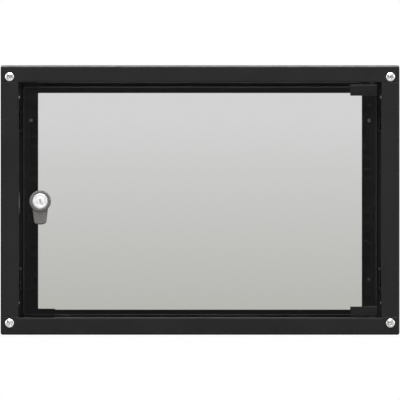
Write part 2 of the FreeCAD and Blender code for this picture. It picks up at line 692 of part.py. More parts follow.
def rail_bolt_seats():
    """Points inside the right carriers under the rail's bolt heads."""
    inside = WEB_X + CARRIER_SHEET + PLAY
    return [V(inside, RAIL_Y + RAIL_BOLT_STEP, level) for level in (-CARRIER_Z, CARRIER_Z)]


def mounting_rail():
    """Right rail: an angle with three square holes to each unit."""
    path = [V(RACK_CLEAR, RAIL_Y, -RAIL_HALF_HEIGHT), V(RAIL_OUT, RAIL_Y, -RAIL_HALF_HEIGHT),
            V(RAIL_OUT, RAIL_Y + RAIL_DEPTH, -RAIL_HALF_HEIGHT)]
    rail = folded(path, RAIL_SHEET, [1.5], Z * (2 * RAIL_HALF_HEIGHT))
    holes = []
    for unit in range(UNITS):
        middle = (unit - (UNITS - 1) / 2) * UNIT
        for step in HOLE_STEPS:
            centre = V(RACK_HOLE_X, RAIL_Y, middle + step)
            holes.append(slab(centre, X, Z, Y * 8, RACK_HOLE_SIDE, RACK_HOLE_SIDE))
    holes += [rod(BOLT_RADIUS, seat - X * 6, seat) for seat in rail_bolt_seats()]
    return rail.cut(holes)


def rail_bolts():
    """The right rail's two bolts, their heads inside the carriers."""
    return Part.makeCompound([screw(seat, X, 5.6, 3.2, BOLT_RADIUS, RAIL_BOLT) for seat in rail_bolt_seats()])


def rail_nuts():
    """The nuts of those bolts, on the rail's inner side."""
    face = RAIL_OUT - RAIL_SHEET
    return Part.makeCompound([hex_nut(V(face, seat.y, seat.z), -X, 10.0, 5.0, BOLT_RADIUS)
                              for seat in rail_bolt_seats()])


# ---- Nodes ----

NODES = {
    "front_top_rail": front_rail(),
    "front_bottom_rail": bottom_rail(),
    "front_left_stile": left_stile(),
    "front_right_stile": stile(),
    "corner_brackets": four_corners(corner_bracket()),
    "front_frame_screws": four_corners(frame_screw()),
    "stile_rivets": four_corners(stile_rivet()),
    "door_glass": door_glass(),
    "lock_grip": lock_grip(),
    "lock_barrel": lock_barrel(),
    "lock_plug": lock_plug(),
    "lock_washers": lock_washers(),
    "lock_nut": hex_nut(lock_point(GLASS_BACK + WASHER), Y, 24.0, 5.0, BARREL_RADIUS),
    "lock_cam": lock_cam(),
    "cam_screw": cam_screw(),
    "lock_keeper": lock_keeper(),
    "door_stop": door_stop(),
    "door_stop_pad": door_stop_pad(),
    "door_stop_screw": door_stop_screw(),
    "top_panel": top_panel(),
    "bottom_panel": bottom_panel(),
    "left_side_panel": flip_x(side_panel()),
    "right_side_panel": side_panel(),
    "side_panel_screws": side_panel_screws(),
    "rear_frame": rear_frame(),
    "top_cable_cover": top_cable_cover(),
    "cable_entry_edging": cable_entry_edging(),
    "earth_stud": earth_stud(),
    "earth_nut": earth_nut(),
}

for name, end, level in (("upper", 1, GLASS_TOP), ("lower", -1, GLASS_BOTTOM)):
    NODES[name + "_hinge_clamp"] = hinge_clamp(end, level)
    NODES[name + "_hinge_gaskets"] = hinge_gaskets(end, level)
    NODES[name + "_clamp_screws"] = clamp_screws(end, level)
    NODES[name + "_hinge_pin"] = hinge_pin(end, level)
    NODES[name + "_pivot_bush"] = pivot_bush(end)

for hand, turn in (("right", lambda shape: shape), ("left", flip_x)):
    NODES[hand + "_mounting_rail"] = turn(mounting_rail())
    NODES[hand + "_rail_bolts"] = turn(rail_bolts())
    NODES[hand + "_rail_nuts"] = turn(rail_nuts())
    NODES[hand + "_upper_rail_carrier"] = turn(rail_carrier())
    NODES[hand + "_lower_rail_carrier"] = turn(flip_z(rail_carrier()))

os.makedirs("parts", exist_ok=True)
for name, shape in NODES.items():
    shape.exportStep(os.path.join("parts", name + ".step"))
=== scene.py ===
# %% [markdown]
# # A wall mount network cabinet with a glass door
# The construction model is already exact: every sheet, screw and pin sits where it belongs. This lesson
# dresses it. The first cell loads that model and keeps its box.

# %% Load the cabinet
import bpy
import bmesh
import json
import math
from mathutils import Matrix, Vector


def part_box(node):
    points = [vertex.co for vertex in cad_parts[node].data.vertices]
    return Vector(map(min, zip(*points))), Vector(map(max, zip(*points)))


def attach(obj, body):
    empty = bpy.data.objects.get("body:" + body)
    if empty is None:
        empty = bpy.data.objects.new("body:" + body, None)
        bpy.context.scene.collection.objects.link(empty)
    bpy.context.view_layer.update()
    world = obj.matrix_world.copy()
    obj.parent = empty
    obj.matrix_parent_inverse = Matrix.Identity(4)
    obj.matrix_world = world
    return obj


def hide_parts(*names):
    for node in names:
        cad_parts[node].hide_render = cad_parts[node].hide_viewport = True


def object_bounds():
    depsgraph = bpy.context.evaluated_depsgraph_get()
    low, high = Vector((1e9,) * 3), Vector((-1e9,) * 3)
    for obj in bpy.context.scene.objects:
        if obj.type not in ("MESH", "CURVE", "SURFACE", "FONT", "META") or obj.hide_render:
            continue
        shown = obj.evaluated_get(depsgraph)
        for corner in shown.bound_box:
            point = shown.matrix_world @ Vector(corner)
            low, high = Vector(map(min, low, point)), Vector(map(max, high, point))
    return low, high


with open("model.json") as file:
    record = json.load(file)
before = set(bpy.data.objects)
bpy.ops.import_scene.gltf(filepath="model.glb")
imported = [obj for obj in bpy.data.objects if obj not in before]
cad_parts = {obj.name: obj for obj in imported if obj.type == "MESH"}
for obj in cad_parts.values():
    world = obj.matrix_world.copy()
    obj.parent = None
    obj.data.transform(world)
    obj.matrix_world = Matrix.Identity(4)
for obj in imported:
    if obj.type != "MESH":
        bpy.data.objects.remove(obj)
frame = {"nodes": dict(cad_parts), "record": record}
cabinet_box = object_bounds()
slots = {row["node"]: row["material_slot"] for row in frame["record"]["subparts"]}
rides_on = {node: body for body, nodes in frame["record"]["behaviour"]["bodies"].items() for node in nodes}
MM = 0.001
X, Y, Z = Vector((1, 0, 0)), Vector((0, 1, 0)), Vector((0, 0, 1))
print("nodes", len(frame["nodes"]), "box", [round(v, 4) for corner in cabinet_box for v in corner])

# %% [markdown]
# ## Helpers for building shaders
# A shader is a graph of small nodes. A few helpers keep the cells below short: one adds a node with its
# settings, three add the nodes that come up most, and two make a node group and put it into a material.
# Colours are written as the numbers a paint chart gives and turned into the linear values that the renderer
# wants.

# %% Node helpers
def chart(level, warm=0.0):
    """Linear colour of a grey of 0 to 255, a little warmer or cooler."""
    shades = [level + warm, level, level - warm]
    return tuple(((v / 255 + 0.055) / 1.055) ** 2.4 if v > 10 else v / 255 / 12.92 for v in shades) + (1.0,)


def add(tree, kind, values=(), **settings):
    """Node of a kind with settings; values are (input, value or output to link) pairs."""
    node = tree.nodes.new(kind)
    for name, setting in settings.items():
        setattr(node, name, setting)
    for key, value in values:
        if isinstance(value, bpy.types.NodeSocket):
            tree.links.new(value, node.inputs[key])
        else:
            node.inputs[key].default_value = value
    return node


def ramp(tree, value, low, high, start=0.0, stop=1.0):
    """Map Range node: start at low, stop at high, and straight between them."""
    return add(tree, "ShaderNodeMapRange", [("Value", value), ("From Min", low), ("From Max", high),
                                            ("To Min", start), ("To Max", stop)])


def noise(tree, where, scale, detail=2.0, rough=0.5):
    """Noise texture at a place; the scale is in blobs for each metre."""
    return add(tree, "ShaderNodeTexNoise", [("Vector", where), ("Scale", scale), ("Detail", detail),
                                            ("Roughness", rough)])


def times(tree, first, second):
    """Product of two values."""
    return add(tree, "ShaderNodeMath", [(0, first), (1, second)], operation="MULTIPLY")


def group(name, inputs, outputs):
    """Empty shader group; inputs and outputs are (name, socket type, default) rows."""
    tree = bpy.data.node_groups.new(name, "ShaderNodeTree")
    for label, kind, default in inputs:
        socket = tree.interface.new_socket(name=label, in_out="INPUT", socket_type=kind)
        socket.default_value = default
    for label, kind in outputs:
        tree.interface.new_socket(name=label, in_out="OUTPUT", socket_type=kind)
    return tree, tree.nodes.new("NodeGroupInput"), tree.nodes.new("NodeGroupOutput")


def place(tree, effect, **values):
    """Puts a group into a material with its own values."""
    node = tree.nodes.new("ShaderNodeGroup")
    node.node_tree = effect
    for name, value in values.items():
        key = name.replace("_", " ").capitalize()
        if isinstance(value, bpy.types.NodeSocket):
            tree.links.new(value, node.inputs[key])
        else:
            node.inputs[key].default_value = value
    return node


FLOAT, COLOUR, VECTOR = "NodeSocketFloat", "NodeSocketColor", "NodeSocketVector"
print("black paint", [round(v, 4) for v in chart(45)])

# %% [markdown]
# ## Fine relief of a sprayed coat
# Powder coat is sprayed as dust and melts in an oven. Up close it keeps a fine orange-peel skin, and its
# gloss wanders a little from place to place. One group makes that skin for every coated or moulded piece:
# a fine noise gives the height and speckles the colour, and a slow one moves the colour and the roughness.

# %% Group: coat skin
skin, entry, exit_ = group("Coat skin", [
    ("Base", COLOUR, (0.03, 0.03, 0.03, 1)), ("Faded", COLOUR, (0.05, 0.05, 0.05, 1)),
    ("Skin size", FLOAT, 900.0), ("Patch size", FLOAT, 14.0),
    ("Dull", FLOAT, 0.5), ("Dull change", FLOAT, 0.12)],
    [("Colour", COLOUR), ("Roughness", FLOAT), ("Height", FLOAT)])
spot = add(skin, "ShaderNodeTexCoord")
peel = noise(skin, spot.outputs["Object"], entry.outputs["Skin size"], 3.0, 0.55)
patch = noise(skin, spot.outputs["Object"], entry.outputs["Patch size"], 5.0, 0.6)
fade = ramp(skin, patch.outputs["Fac"], 0.35, 0.8)
mixed = add(skin, "ShaderNodeMix", [("Factor", fade.outputs["Result"]), ("A", entry.outputs["Base"]),
                                    ("B", entry.outputs["Faded"])], data_type="RGBA")
speck = ramp(skin, peel.outputs["Fac"], 0.3, 0.75, 0.86, 1.12)
tone = add(skin, "ShaderNodeMix", [("Factor", 1.0), ("A", mixed.outputs["Result"]),
                                   ("B", speck.outputs["Result"])], data_type="RGBA", blend_type="MULTIPLY")
swing = add(skin, "ShaderNodeMath", [(0, patch.outputs["Fac"]), (1, 0.5)], operation="SUBTRACT")
gloss = add(skin, "ShaderNodeMath", [(0, swing.outputs[0]), (1, entry.outputs["Dull change"]),
                                     (2, entry.outputs["Dull"])], operation="MULTIPLY_ADD")
skin.links.new(tone.outputs["Result"], exit_.inputs["Colour"])
skin.links.new(gloss.outputs[0], exit_.inputs["Roughness"])
skin.links.new(peel.outputs["Fac"], exit_.inputs["Height"])
print(skin.name, "nodes", len(skin.nodes))

# %% [markdown]
# ## Edge wear
# Paint is thinnest on a sharp edge and rubs off there first. The Bevel node gives the normal that a small
# rounding would have, so where it differs from the true normal there is an edge. A coarse noise breaks the
# mask up, because wear is never even.

# %% Group: edge wear
wear, entry, exit_ = group("Edge wear", [("Reach", FLOAT, 0.0006), ("Amount", FLOAT, 0.5),
                                         ("Patch size", FLOAT, 60.0)],
                           [("Mask", FLOAT), ("Soft normal", VECTOR)])
soft = add(wear, "ShaderNodeBevel", [("Radius", entry.outputs["Reach"])], samples=4)
true = add(wear, "ShaderNodeNewGeometry")
turn = add(wear, "ShaderNodeVectorMath", [(0, soft.outputs["Normal"]), (1, true.outputs["Normal"])],
           operation="DOT_PRODUCT")
edge = ramp(wear, turn.outputs["Value"], 0.995, 0.80)
spot = add(wear, "ShaderNodeTexCoord")
chips = noise(wear, spot.outputs["Object"], entry.outputs["Patch size"], 6.0, 0.7)
broken = ramp(wear, chips.outputs["Fac"], 0.42, 0.68)
both = times(wear, edge.outputs["Result"], broken.outputs["Result"])
mask = times(wear, both.outputs[0], entry.outputs["Amount"])
wear.links.new(mask.outputs[0], exit_.inputs["Mask"])
wear.links.new(soft.outputs["Normal"], exit_.inputs["Soft normal"])
print(wear.name, "nodes", len(wear.nodes))

# %% [markdown]
# ## Dust
# A cabinet gathers a thin grey film on whatever faces up. The group puts out a mask from the normal's
# upward part and a patchy noise; each material decides how much of it to show.

# %% Group: settled dust
dust, entry, exit_ = group("Settled dust", [("Amount", FLOAT, 0.2), ("Patch size", FLOAT, 25.0)],
                           [("Mask", FLOAT)])
spot = add(dust, "ShaderNodeTexCoord")
true = add(dust, "ShaderNodeNewGeometry")
parts = add(dust, "ShaderNodeSeparateXYZ", [("Vector", true.outputs["Normal"])])
level = ramp(dust, parts.outputs["Z"], 0.55, 1.0)
film = noise(dust, spot.outputs["Object"], entry.outputs["Patch size"], 7.0, 0.65)
thick = ramp(dust, film.outputs["Fac"], 0.3, 0.75, 0.35, 1.0)
lies = times(dust, level.outputs["Result"], thick.outputs["Result"])
mask = times(dust, lies.outputs[0], entry.outputs["Amount"])
dust.links.new(mask.outputs[0], exit_.inputs["Mask"])
print(dust.name, "nodes", len(dust.nodes))

# %% [markdown]
# ## Grain of plated metal
# Zinc, nickel and chrome are bright, but never perfectly so. Plated steel shows fine drawing lines in one
# direction and cloudy patches where the bath worked unevenly. Stretching noise along one axis gives lines.

# %% Group: plated grain
grain, entry, exit_ = group("Plated grain", [
    ("Bright", COLOUR, (0.7, 0.7, 0.7, 1)), ("Cloudy", COLOUR, (0.5, 0.5, 0.5, 1)),
    ("Line size", FLOAT, 1400.0), ("Dull", FLOAT, 0.25), ("Dull change", FLOAT, 0.2)],
    [("Colour", COLOUR), ("Roughness", FLOAT), ("Height", FLOAT)])
spot = add(grain, "ShaderNodeTexCoord")
stretch = add(grain, "ShaderNodeMapping", [("Vector", spot.outputs["Object"]), ("Scale", (0.06, 1.0, 1.0))])
lines = noise(grain, stretch.outputs["Vector"], entry.outputs["Line size"], 2.0)
cloud = noise(grain, spot.outputs["Object"], 110.0, 5.0)
veil = ramp(grain, cloud.outputs["Fac"], 0.35, 0.75)
tone = add(grain, "ShaderNodeMix", [("Factor", veil.outputs["Result"]), ("A", entry.outputs["Bright"]),
                                    ("B", entry.outputs["Cloudy"])], data_type="RGBA")
blend = add(grain, "ShaderNodeMath", [(0, lines.outputs["Fac"]), (1, cloud.outputs["Fac"])],
            operation="ADD")
swing = add(grain, "ShaderNodeMath", [(0, blend.outputs[0]), (1, 1.0)], operation="SUBTRACT")
gloss = add(grain, "ShaderNodeMath", [(0, swing.outputs[0]), (1, entry.outputs["Dull change"]),
                                      (2, entry.outputs["Dull"])], operation="MULTIPLY_ADD")
grain.links.new(tone.outputs["Result"], exit_.inputs["Colour"])
grain.links.new(gloss.outputs[0], exit_.inputs["Roughness"])
grain.links.new(lines.outputs["Fac"], exit_.inputs["Height"])
print(grain.name, "nodes", len(grain.nodes))

# %% [markdown]
# ## From groups to finishes
# Two recipes cover almost everything. A coated finish mixes dust and bare metal into the skin's colour; a
# plated finish is metal all over. Both send the soft edge normal through a Bump node, so that every sheet
# edge catches a thin highlight, as a deburred edge does.

# %% Finish recipes
def new_finish(name):
    """Material with an empty Principled shader, its tree and the shader."""
    finish = bpy.data.materials.new(name)
    finish.use_nodes = True
    tree = finish.node_tree
    return finish, tree, tree.nodes["Principled BSDF"]


def coated(name, base, faded, dull, skin_size=900.0, relief=0.00002, wear_amount=0.25, dust_amount=0.12,
           bare=(0.42, 0.42, 0.43, 1), bare_metal=1.0, reach=0.0006, specular=0.35):
    """Painted or moulded finish: skin, worn edges and dust."""
    finish, tree, shader = new_finish(name)
    coat = place(tree, skin, base=base, faded=faded, skin_size=skin_size, dull=dull)
    rubbed = place(tree, wear, reach=reach, amount=wear_amount)
    film = place(tree, dust, amount=dust_amount)
    worn = add(tree, "ShaderNodeMix", [("Factor", rubbed.outputs["Mask"]), ("A", coat.outputs["Colour"]),
                                       ("B", bare)], data_type="RGBA")
    dusty = add(tree, "ShaderNodeMix", [("Factor", film.outputs["Mask"]), ("A", worn.outputs["Result"]),
                                        ("B", chart(150, 4))], data_type="RGBA")
    metal = times(tree, rubbed.outputs["Mask"], bare_metal)
    bump = add(tree, "ShaderNodeBump", [("Strength", 0.6), ("Distance", relief),
                                        ("Height", coat.outputs["Height"]),
                                        ("Normal", rubbed.outputs["Soft normal"])])
    tree.links.new(dusty.outputs["Result"], shader.inputs["Base Color"])
    tree.links.new(coat.outputs["Roughness"], shader.inputs["Roughness"])
    tree.links.new(metal.outputs[0], shader.inputs["Metallic"])
    tree.links.new(bump.outputs["Normal"], shader.inputs["Normal"])
    shader.inputs["Specular IOR Level"].default_value = specular
    return finish


def plated(name, bright, cloudy, dull, change=0.2, line_size=1400.0, relief=0.00001, reach=0.0005):
    """Bare or plated metal: grain and softened edges."""
    finish, tree, shader = new_finish(name)
    metal = place(tree, grain, bright=bright, cloudy=cloudy, dull=dull, dull_change=change,
                  line_size=line_size)
    rounded = place(tree, wear, reach=reach, amount=0.0)
    bump = add(tree, "ShaderNodeBump", [("Strength", 0.5), ("Distance", relief),
                                        ("Height", metal.outputs["Height"]),
                                        ("Normal", rounded.outputs["Soft normal"])])
    tree.links.new(metal.outputs["Colour"], shader.inputs["Base Color"])
    tree.links.new(metal.outputs["Roughness"], shader.inputs["Roughness"])
    tree.links.new(bump.outputs["Normal"], shader.inputs["Normal"])
    shader.inputs["Metallic"].default_value = 1.0
    return finish


print("recipes ready: coated, plated")

# %% [markdown]
# ## The black coat
# Everything folded from sheet has the same black powder coat, but use changes it. The front frame is wiped
# by hands and stays darkest, and a pale mottled band along its top edge is a painted highlight. The shell is
# duller and dustier, the rack rails are lightly scraped by equipment, and the rear frame is palest, as
# painted light for the dark gaps beside the door. The hinge clamps are castings with a coarser, nearly black
# coat, rubbed at their edges.

# %% Coated steel
FINISH = {}
HIGHLIGHT_FROM = 0.1837         # height above which the painted highlight lies on the top edge
HIGHLIGHT_FADE = 0.0008    # height over which it sets in
HIGHLIGHT_SHARE = 0.32      # how much of the painted highlight's grey shows there
HIGHLIGHT_CHANGE = 0.12    # how far that share wanders
HIGHLIGHT_FLECKS_PER_METRE = 60.0
FINISH["frame"] = coated("Black coat of the front frame", chart(22), chart(27), 0.5, dust_amount=0.015,
                         specular=0.12)
tree = FINISH["frame"].node_tree
shader = tree.nodes["Principled BSDF"]
spot = add(tree, "ShaderNodeTexCoord")
height = add(tree, "ShaderNodeSeparateXYZ", [("Vector", spot.outputs["Object"])])
# painted highlight: a pale mottled grey band mixed into the coat along the frame's top edge
lit_band = ramp(tree, height.outputs["Z"], HIGHLIGHT_FROM, HIGHLIGHT_FROM + HIGHLIGHT_FADE)
lit_flecks = noise(tree, spot.outputs["Object"], HIGHLIGHT_FLECKS_PER_METRE, 3.0)
amount = ramp(tree, lit_flecks.outputs["Fac"], 0.0, 1.0, HIGHLIGHT_SHARE - HIGHLIGHT_CHANGE, HIGHLIGHT_SHARE + HIGHLIGHT_CHANGE)
share = times(tree, lit_band.outputs["Result"], amount.outputs["Result"])
plain = shader.inputs["Base Color"].links[0].from_socket
highlighted = add(tree, "ShaderNodeMix", [("Factor", share.outputs[0]), ("A", plain), ("B", chart(150))],
             data_type="RGBA")
tree.links.new(highlighted.outputs["Result"], shader.inputs["Base Color"])
FINISH["shell"] = coated("Black coat of the shell", chart(32), chart(38), 0.55, dust_amount=0.05,
                         specular=0.22)
FINISH["rail"] = coated("Black coat of the rack rails", chart(27), chart(32), 0.5, wear_amount=0.15,
                        dust_amount=0.02, specular=0.15)
# painted light: the rear frame's coat is paler so that the dark gaps beside the door look lit
FINISH["back"] = coated("Black coat of the rear frame", chart(48), chart(54), 0.55, dust_amount=0.05,
                        specular=0.2)
FINISH["clamp"] = coated("Black coated casting", chart(20), chart(24), 0.55, specular=0.07, skin_size=500.0,
                         relief=0.00004, wear_amount=0.35)
print("coated", list(FINISH))

# %% [markdown]
# ## Plastics and rubber
# The finger pull is moulded in mid grey with a faint spark-eroded texture. The keeper is a darker plastic
# that the cam's tip has rubbed pale, so it gets a paler band between two heights. The bushes are black
# nylon. Rubber is the dullest thing here, nearly without gloss.

# %% Moulded finishes
FINISH["grip"] = coated("Grey moulded plastic", chart(80, 1), chart(90, 1), 0.42, skin_size=1600.0,
                        relief=0.00002, wear_amount=0.15, dust_amount=0.03, bare=chart(160), bare_metal=0.0,
                        reach=0.0004)
FINISH["keeper"] = coated("Dark moulded plastic", chart(46, 1), chart(56, 1), 0.4, skin_size=1400.0,
                          wear_amount=0.3, dust_amount=0.05, bare=chart(190), bare_metal=0.0)
FINISH["bush"] = coated("Black nylon", chart(38), chart(46), 0.35, skin_size=1300.0, wear_amount=0.1,
                        dust_amount=0.05, bare=chart(80), bare_metal=0.0)
FINISH["soft_pad"] = coated("Black rubber", chart(30), chart(42), 0.82, skin_size=1100.0, relief=0.00004,
                            wear_amount=0.2, dust_amount=0.2, bare=chart(70), bare_metal=0.0, specular=0.25)
RUBBED = (-0.0111, 0.0058)     # heights between which the cam's tip rubs the keeper
RUBBED_FADE = 0.001
tree = FINISH["keeper"].node_tree
shader = tree.nodes["Principled BSDF"]
spot = add(tree, "ShaderNodeTexCoord")
height = add(tree, "ShaderNodeSeparateXYZ", [("Vector", spot.outputs["Object"])])
below = ramp(tree, height.outputs["Z"], RUBBED[0], RUBBED[0] + RUBBED_FADE)
above = ramp(tree, height.outputs["Z"], RUBBED[1], RUBBED[1] - RUBBED_FADE)
rubbed = times(tree, below.outputs["Result"], above.outputs["Result"])
plain = shader.inputs["Base Color"].links[0].from_socket
polished = add(tree, "ShaderNodeMix", [("Factor", rubbed.outputs[0]), ("A", plain), ("B", chart(96, 1))],
               data_type="RGBA")
tree.links.new(polished.outputs["Result"], shader.inputs["Base Color"])
print("moulded", [FINISH[slot].name for slot in ("grip", "keeper", "bush", "soft_pad")])

# %% [markdown]
# ## Plated metal
# The four big screws are nickel plated and nearly white. The lock's face is satin chrome. Hidden screws,
# nuts and the cam are bluish zinc, and the corner brackets are plain galvanised sheet with longer lines.
# Rivets and rail bolts have a zinc flake coat, which scatters light as paint does. Low in the cabinet it is
# darkened as painted shade, and the bolts' heads are painted over. Blackened steel is the darkest.

# %% Plated finishes
FINISH["bright_screw"] = plated("Bright nickel", chart(226, 1), chart(205, 1), 0.22)
FINISH["lock_chrome"] = plated("Satin chrome", chart(252), chart(244), 0.43, change=0.12, line_size=2200.0)
FLAKE_METAL = 0.35         # flake is only partly a mirror
SHADE_BAND = (-0.02, 0.02)  # heights between which the painted shade fades out
HEADS_FROM = 0.242         # distance from the middle plane where the bolts' painted heads begin
BEYOND = 1.0               # farther out than any piece, so nothing is painted
PAINTED, LOW_SHADE = 0.03, 0.3    # what is left of the flake's brightness under the head paint, and low down in the painted shade


def flaked(name, tone, painted_from):
    """Zinc flake, darkened low in the cabinet as painted shade, and painted from a distance off the middle
    plane.
    """
    finish = plated(name, chart(tone), chart(tone - 10), 0.5)
    tree = finish.node_tree
    shader = tree.nodes["Principled BSDF"]
    shader.inputs["Metallic"].default_value = FLAKE_METAL
    flake = shader.inputs["Base Color"].links[0].from_socket
    spot = add(tree, "ShaderNodeTexCoord")
    at = add(tree, "ShaderNodeSeparateXYZ", [("Vector", spot.outputs["Object"])])
    side = add(tree, "ShaderNodeMath", [(0, at.outputs["X"])], operation="ABSOLUTE")
    bare = ramp(tree, side.outputs[0], painted_from, painted_from + MM, 1.0, PAINTED)
    # painted shade: the flake is darker low in the cabinet, on the rivets and on the rail bolts' ends
    fresh = ramp(tree, at.outputs["Z"], SHADE_BAND[0], SHADE_BAND[1], LOW_SHADE, 1.0)
    bright = times(tree, bare.outputs["Result"], fresh.outputs["Result"])
    paint_and_shade = add(tree, "ShaderNodeVectorMath", [("Vector", flake), ("Scale", bright.outputs[0])],
                 operation="SCALE")
    tree.links.new(paint_and_shade.outputs["Vector"], shader.inputs["Base Color"])
    return finish


FINISH["bolt_zinc"] = flaked("Zinc flake with a painted head", 250, HEADS_FROM)
FINISH["rivet_zinc"] = flaked("Zinc flake", 200, BEYOND)
FINISH["zinc"] = plated("Blue zinc", chart(190, -3), chart(160, -2), 0.36)
FINISH["pin_steel"] = plated("Blackened steel", chart(62), chart(50), 0.45)
FINISH["bracket_steel"] = plated("Galvanised sheet", chart(178, -1), chart(148, -1), 0.42, line_size=700.0)
print("finishes so far", len(FINISH))

# %% [markdown]
# ## Toughened glass
# The pane is float glass with a slight grey tone, four millimetres thick, with ground edges. It lets light
# through, so it keeps a plain metallic and transmission value. Its tone carries painted shade: darker towards
# the foot and lighter towards the head. Faint wiping marks change the roughness only.

# %% Glass finish
GLASS_SHADE_BAND = (-0.160, 0.115)             # heights between which the painted shade changes the tone
SHADED_FOOT_TONE = (0.498, 0.503, 0.468, 1)
LIT_HEAD_TONE = (0.69, 0.695, 0.692, 1)
EDGE_TONE = (0.010, 0.016, 0.013, 1)    # a ground edge swallows the light that enters it
EDGE_DULL = 0.45
pane, tree, shader = new_finish("Toned door glass")
spot = add(tree, "ShaderNodeTexCoord")
height = add(tree, "ShaderNodeSeparateXYZ", [("Vector", spot.outputs["Object"])])
# painted shade: the glass is tinted darker towards its foot and lighter towards its head
drop = ramp(tree, height.outputs["Z"], GLASS_SHADE_BAND[0], GLASS_SHADE_BAND[1])
shaded_tones = add(tree, "ShaderNodeMix", [("Factor", drop.outputs["Result"]), ("A", SHADED_FOOT_TONE),
                                    ("B", LIT_HEAD_TONE)], data_type="RGBA")
wipe = add(tree, "ShaderNodeMapping", [("Vector", spot.outputs["Object"]), ("Rotation", (0, 0.5, 0)),
                                       ("Scale", (6.0, 6.0, 60.0))])
marks = noise(tree, wipe.outputs["Vector"], 2.0, 4.0)
polish = ramp(tree, marks.outputs["Fac"], 0.5, 0.8, 0.0, 0.012)
facing = add(tree, "ShaderNodeSeparateXYZ", [("Vector", spot.outputs["Normal"])])
flat = add(tree, "ShaderNodeMath", [(0, facing.outputs["Y"])], operation="ABSOLUTE")
ground = ramp(tree, flat.outputs[0], 0.97, 0.9)
tinted = add(tree, "ShaderNodeMix", [("Factor", ground.outputs["Result"]), ("A", shaded_tones.outputs["Result"]),
                                     ("B", EDGE_TONE)], data_type="RGBA")
matt = add(tree, "ShaderNodeMath", [(0, ground.outputs["Result"]), (1, EDGE_DULL),
                                    (2, polish.outputs["Result"])], operation="MULTIPLY_ADD")
tree.links.new(tinted.outputs["Result"], shader.inputs["Base Color"])
tree.links.new(matt.outputs[0], shader.inputs["Roughness"])
shader.inputs["Transmission Weight"].default_value = 1.0
shader.inputs["IOR"].default_value = 1.5
FINISH["glass"] = pane
print("glass tone nodes", len(tree.nodes))

# %% [markdown]
# ## Dressing the construction model
# Most nodes keep their shape: sheet metal is sheet metal. They only need their finish, which goes into the
# material slot that the imported object already has. Three nodes get a finish of their own: the hinge pins
# are blackened steel, and the rear frame has the paler coat, which is painted light for the dark gaps beside
# the door.

# %% Finishes onto the nodes
slots.update(upper_hinge_pin="pin_steel", lower_hinge_pin="pin_steel", rear_frame="back")
for node, piece in frame["nodes"].items():
    piece.data.materials.clear()
    piece.data.materials.append(FINISH[slots[node]])
print("dressed", len(frame["nodes"]), "nodes with", len(FINISH), "finishes")

# %% [markdown]
# ## Turned shapes
# Screws, rims and plugs are turned on a lathe. The helper spins a profile of radius and height points into
# a closed mesh; a radius of zero makes a pole. A thread is the same thing with a wall that rises and falls
# as it goes round.

# %% Lathe helpers
def mesh_piece(name, verts, faces, sharp=35):
    """Object from points and faces, outward normals, smooth apart from sharp edges."""
    mesh = bpy.data.meshes.new(name)
    mesh.from_pydata([tuple(v) for v in verts], [], faces)
    work = bmesh.new()
    work.from_mesh(mesh)
    bmesh.ops.remove_doubles(work, verts=work.verts, dist=1e-7)
    bmesh.ops.recalc_face_normals(work, faces=work.faces)
    work.to_mesh(mesh)
    work.free()
    mesh.polygons.foreach_set("use_smooth", [True] * len(mesh.polygons))
    mesh.set_sharp_from_angle(angle=math.radians(sharp))
    piece = bpy.data.objects.new(name, mesh)
    bpy.context.collection.objects.link(piece)
    return piece


def spun(profile, rounds=48, ripple=None):
    """Points and faces of a profile spun about Z; ripple(radius, height, turn) may shift a radius."""
    verts, rows, faces = [], [], []
    for radius, height in profile:
        if radius == 0:
            rows.append([len(verts)] * rounds)
            verts.append((0, 0, height))
            continue
        rows.append(list(range(len(verts), len(verts) + rounds)))
        for step in range(rounds):
            turn = 2 * math.pi * step / rounds
            reach = ripple(radius, height, turn) if ripple else radius
            verts.append((reach * math.cos(turn), reach * math.sin(turn), height))
    for low, high in zip(rows, rows[1:]):
        for step in range(rounds):
            ahead = (step + 1) % rounds
            corners = [low[step], low[ahead], high[ahead], high[step]]
            faces.append([v for place_, v in enumerate(corners) if v not in corners[:place_]])
    return verts, faces


def rounded(corner, radius, start, stop, steps):
    """Arc points round a centre, angles in degrees."""
    points = []
    for step in range(steps + 1):
        angle = math.radians(start + (stop - start) * step / steps)
        points.append((corner[0] + radius * math.cos(angle), corner[1] + radius * math.sin(angle)))
    return points


def thread(core, top, bottom, pitch, fine=6):
    """Profile rows and ripple for a threaded length from top down to bottom."""
    rows = max(2, round((top - bottom) / pitch * fine))
    heights = [top + (bottom - top) * row / rows for row in range(rows + 1)]
    depth = pitch * 0.45

    def ripple(radius, height, turn):
        if not bottom + pitch * 0.6 < height < top - 0.2 * pitch:
            return radius
        wave = (height / pitch - turn / (2 * math.pi)) % 1.0
        return radius - depth * abs(2 * wave - 1)
    return [(core, height) for height in heights], ripple


def settle(piece, base, axis, turn=0.0):
    """Moves a piece made along Z to its base and axis, by moving its points."""
    aim = Z.rotation_difference(axis).to_matrix().to_4x4()
    piece.data.transform(Matrix.Translation(base) @ aim @ Matrix.Rotation(turn, 4, "Z"))
    return piece


print("lathe helpers ready")

# %% [markdown]
# ## One cross-recess screw
# A pan-head screw has a low dome, a tapered cross for the driver and a thread. The dome and thread are
# spun; the cross is cut by a Boolean modifier with a small tapered plus sign. Each kind of screw is built
# once with a head radius of one, because its copies are scaled to size.

# %% Screw pattern
def cross_cutter(reach, half, top, depth):
    """Tapered plus sign that cuts the recess."""
    plan = [(reach, half), (half, half), (half, reach)]
    ring = []
    for quarter in range(4):
        turn = Matrix.Rotation(quarter * math.pi / 2, 2)
        ring += [turn @ Vector(point) for point in plan]
    verts = [(p.x, p.y, top) for p in ring] + [(p.x * 0.55, p.y * 0.55, top - depth) for p in ring]
    faces = [list(range(12)), list(range(12, 24))]
    faces += [[i, (i + 1) % 12, (i + 1) % 12 + 12, i + 12] for i in range(12)]
    return mesh_piece("cutter", verts, faces)


